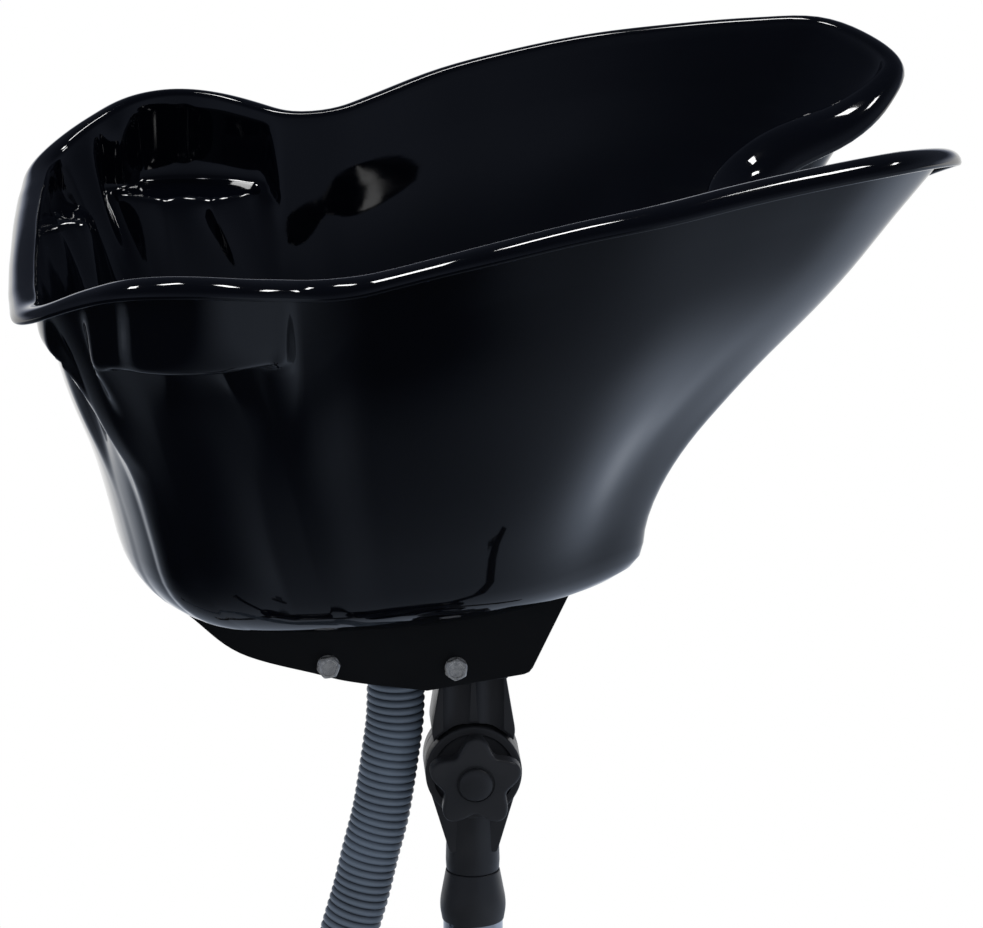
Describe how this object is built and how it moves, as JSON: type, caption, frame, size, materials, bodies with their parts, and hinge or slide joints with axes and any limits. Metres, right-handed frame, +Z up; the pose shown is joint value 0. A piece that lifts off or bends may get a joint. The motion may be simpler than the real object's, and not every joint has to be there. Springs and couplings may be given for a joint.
{
  "type": "portable shampoo basin",
  "caption": "Portable salon shampoo basin: a moulded neck-rest bowl with bottle shelves and a drain hose, tilting on a telescopic post with swivel casters.",
  "frame": {"origin": "on the floor, under the middle of the basin and its stand, the drain hose left out", "axes": "+Z up, +X toward the neck rest, +Y to the user's side away from the clamping knobs; the post is fully lowered"},
  "size_m": [0.8478, 0.524, 1.0216],
  "materials": {
    "gloss_black": "high gloss moulded",
    "satin_black": "satin black paint",
    "slate_plastic": "satin moulded",
    "hose_grey": "satin ribbed",
    "rubber": "matte",
    "zinc": "zinc plated",
    "chrome": "polished",
    "tyre_grey": "matte"
  },
  "bodies": {
    "base": {"base_hub": "satin_black", "outer_post": "satin_black", "guide_bush": "slate_plastic", "clamp_collar": "satin_black", "leg_1": "satin_black", "leg_2": "satin_black", "leg_3": "satin_black", "leg_4": "satin_black", "leg_cap_1": "slate_plastic", "leg_cap_2": "slate_plastic", "leg_cap_3": "slate_plastic", "leg_cap_4": "slate_plastic", "leg_bolt_1": "zinc", "leg_bolt_2": "zinc", "leg_bolt_3": "zinc", "leg_bolt_4": "zinc", "drain_hose": "hose_grey", "hose_cuff": "rubber"},
    "lift": {"inner_post": "chrome", "post_glide": "slate_plastic", "post_collar": "slate_plastic", "hinge_lower_jaw": "slate_plastic", "tilt_bolt": "zinc", "tilt_washer": "zinc"},
    "bowl": {"basin_shell": "gloss_black", "cradle": "satin_black", "cradle_bolt_near_back": "zinc", "cradle_bolt_near_front": "zinc", "cradle_bolt_far_back": "zinc", "cradle_bolt_far_front": "zinc", "drain_body": "chrome", "strainer_grid": "chrome", "drain_gasket": "rubber", "drain_locknut": "slate_plastic", "hose_clamp": "zinc", "hinge_top_jaw": "slate_plastic", "jaw_screw_near": "zinc", "jaw_screw_far": "zinc"},
    "tilt_knob_body": {"tilt_knob": "slate_plastic", "tilt_knob_cap": "slate_plastic"},
    "height_knob_body": {"height_knob": "slate_plastic", "height_knob_cap": "slate_plastic"},
    "swivel_1": {"caster_fork_1": "zinc", "caster_axle_1": "zinc"},
    "wheel_1": {"caster_wheel_1": "tyre_grey"},
    "swivel_2": {"caster_fork_2": "zinc", "caster_axle_2": "zinc"},
    "wheel_2": {"caster_wheel_2": "tyre_grey"},
    "swivel_3": {"caster_fork_3": "zinc", "caster_axle_3": "zinc"},
    "wheel_3": {"caster_wheel_3": "tyre_grey"},
    "swivel_4": {"caster_fork_4": "zinc", "caster_axle_4": "zinc"},
    "wheel_4": {"caster_wheel_4": "tyre_grey"}
  },
  "joints": [
    {"name": "height_slide", "type": "slide", "parent": "base", "child": "lift", "axis": [0, 0, 1], "range_m": [0, 0.22], "deforming": ["drain_hose"]},
    {"name": "tilt", "type": "hinge", "parent": "lift", "child": "bowl", "pos_m": [-0.0055, 0, 0.576], "axis": [0, 1, 0], "range_deg": [-20, 20], "deforming": ["drain_hose"]},
    {"name": "tilt_knob_turn", "type": "hinge", "parent": "lift", "child": "tilt_knob_body", "pos_m": [-0.0055, 0, 0.576], "axis": [0, -1, 0], "range_deg": [0, 360]},
    {"name": "height_knob_turn", "type": "hinge", "parent": "base", "child": "height_knob_body", "pos_m": [-0.0055, 0, 0.392], "axis": [0, -1, 0], "range_deg": [0, 360]},
    {"name": "swivel_1_turn", "type": "hinge", "parent": "base", "child": "swivel_1", "pos_m": [0.1939, 0.1994, 0.06], "axis": [0, 0, 1], "continuous": true},
    {"name": "wheel_1_roll", "type": "hinge", "parent": "swivel_1", "child": "wheel_1", "pos_m": [0.1759, 0.1994, 0.025], "axis": [0, 1, 0], "continuous": true},
    {"name": "swivel_2_turn", "type": "hinge", "parent": "base", "child": "swivel_2", "pos_m": [-0.2049, 0.1994, 0.06], "axis": [0, 0, 1], "continuous": true},
    {"name": "wheel_2_roll", "type": "hinge", "parent": "swivel_2", "child": "wheel_2", "pos_m": [-0.2229, 0.1994, 0.025], "axis": [0, 1, 0], "continuous": true},
    {"name": "swivel_3_turn", "type": "hinge", "parent": "base", "child": "swivel_3", "pos_m": [-0.2049, -0.1994, 0.06], "axis": [0, 0, 1], "continuous": true},
    {"name": "wheel_3_roll", "type": "hinge", "parent": "swivel_3", "child": "wheel_3", "pos_m": [-0.2229, -0.1994, 0.025], "axis": [0, 1, 0], "continuous": true},
    {"name": "swivel_4_turn", "type": "hinge", "parent": "base", "child": "swivel_4", "pos_m": [0.1939, -0.1994, 0.06], "axis": [0, 0, 1], "continuous": true},
    {"name": "wheel_4_roll", "type": "hinge", "parent": "swivel_4", "child": "wheel_4", "pos_m": [0.1759, -0.1994, 0.025], "axis": [0, 1, 0], "continuous": true}
  ]
}
